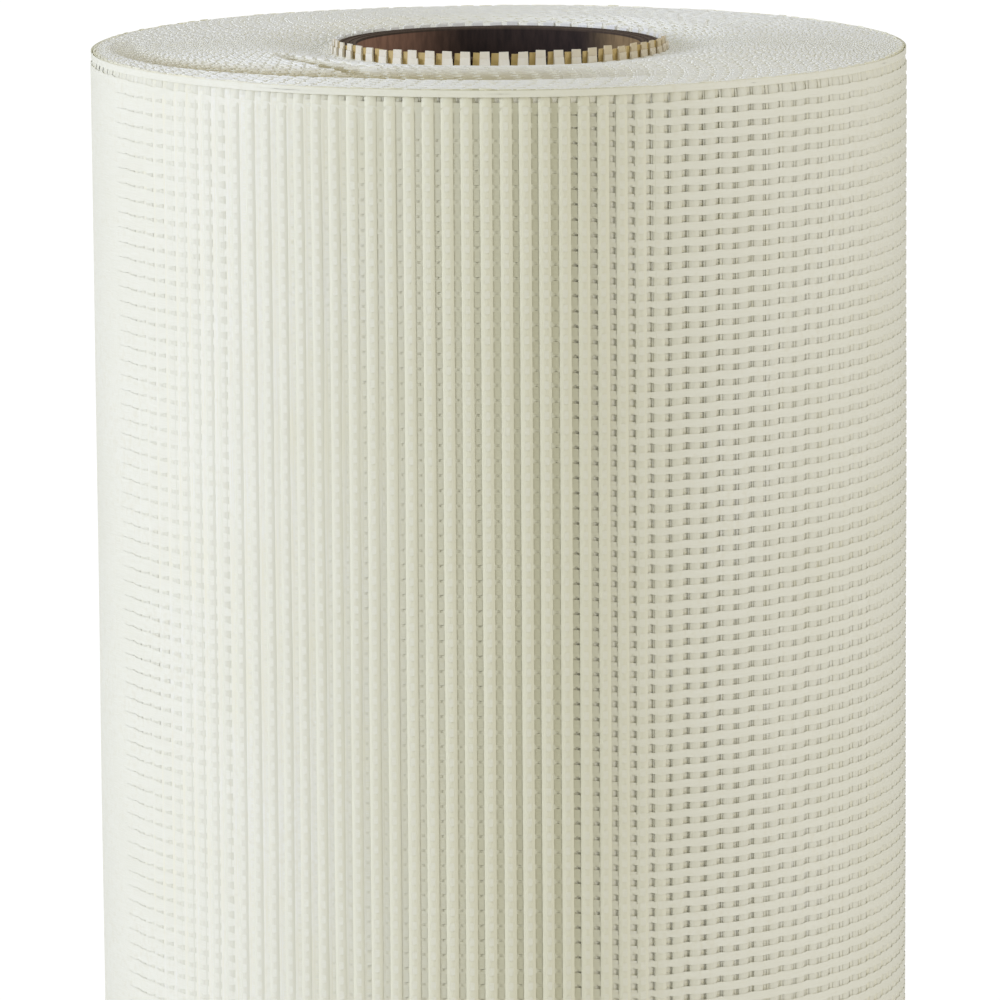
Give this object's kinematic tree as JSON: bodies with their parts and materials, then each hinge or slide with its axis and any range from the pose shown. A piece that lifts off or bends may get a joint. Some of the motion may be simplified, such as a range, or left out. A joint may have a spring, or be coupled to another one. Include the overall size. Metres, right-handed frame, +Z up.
{
  "type": "roll of fiberglass mesh",
  "caption": "Standing roll of open glass-fibre mesh for plaster and render, wound on a cardboard core tube.",
  "frame": {"origin": "centre of the roll's lower end, on the floor that it stands on", "axes": "+Z up along the roll's axis; +Y away from the camera side of the picture, +X to its right"},
  "size_m": [0.2182, 0.2182, 1.0024],
  "materials": {
    "glass_mesh": "cream resin-coated glass yarn, satin",
    "cardboard": "brown wound kraft board, matt"
  },
  "bodies": {
    "root": {"mesh_web": "glass_mesh", "core_tube": "cardboard"}
  },
  "joints": []
}
